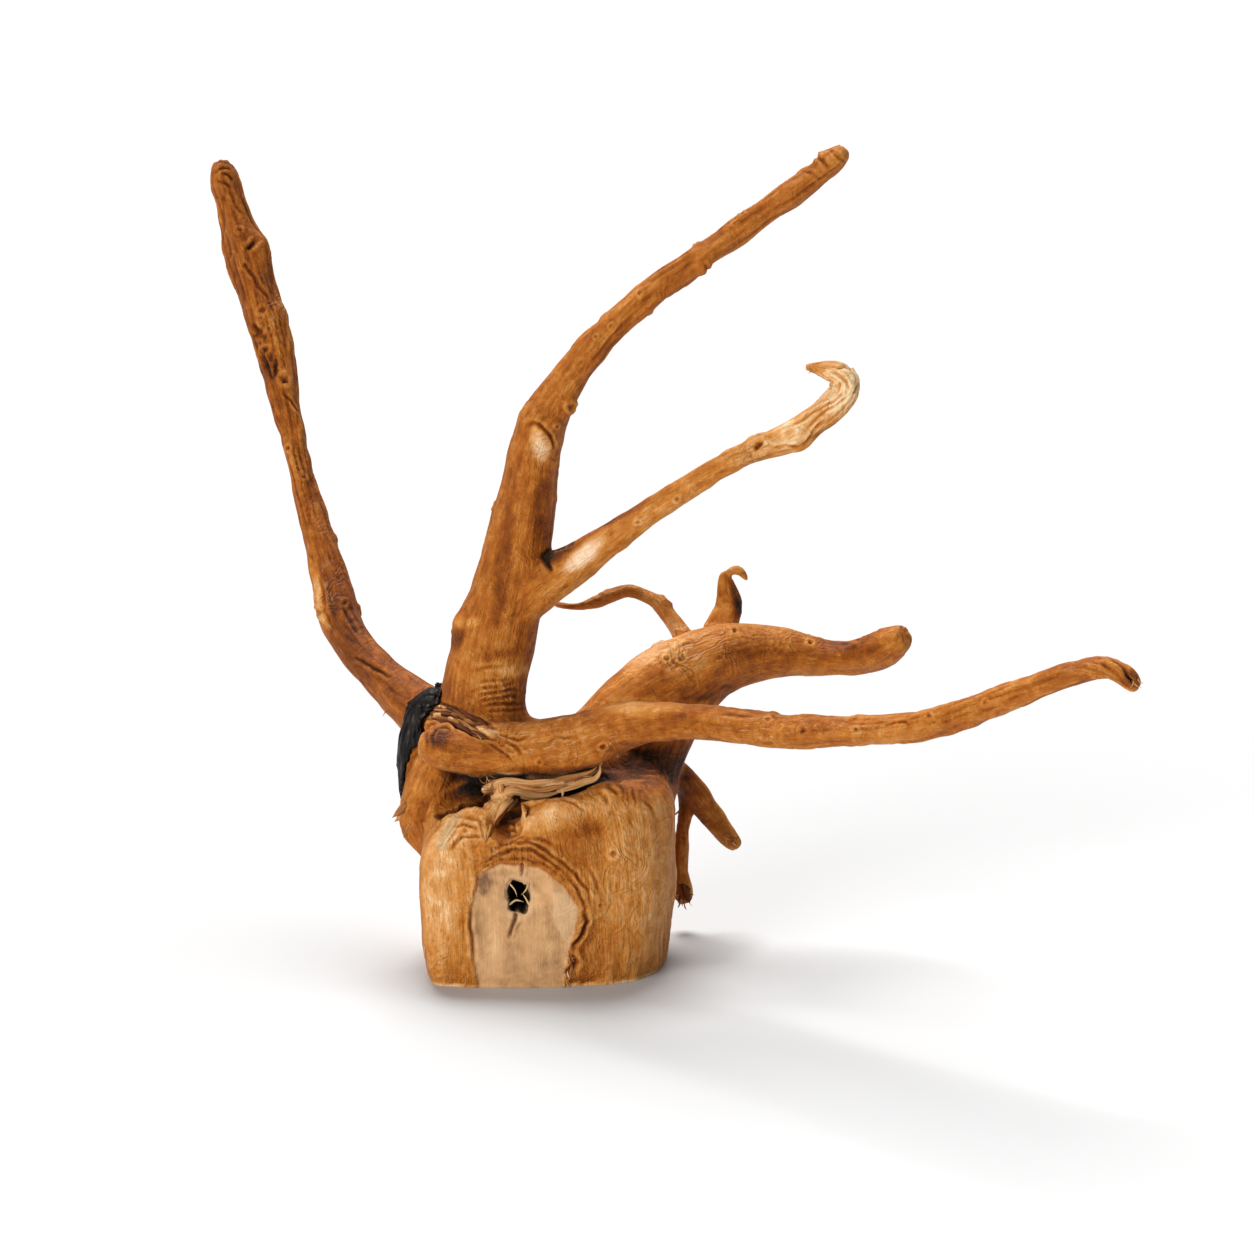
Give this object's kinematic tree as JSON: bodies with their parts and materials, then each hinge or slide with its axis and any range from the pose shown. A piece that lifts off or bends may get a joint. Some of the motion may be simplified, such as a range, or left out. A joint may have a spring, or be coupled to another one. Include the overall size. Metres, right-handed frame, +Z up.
{
  "type": "spiderwood root",
  "caption": "Piece of bare spiderwood: a short sawn stump with a knot and a cleft, and long bent roots that reach up and out to all sides.",
  "frame": {"origin": "middle of the flat sawn base, on the surface that the stump stands on", "axes": "+Z up from the sawn base, +X to the right of the front with the knot, +Y to the back"},
  "size_m": [0.262, 0.2504, 0.2399],
  "materials": {
    "bare_wood": "bare barkless root wood, matt with a slight satin on the worn ridges"
  },
  "bodies": {
    "root": {"spiderwood_root": "bare_wood"}
  },
  "joints": []
}
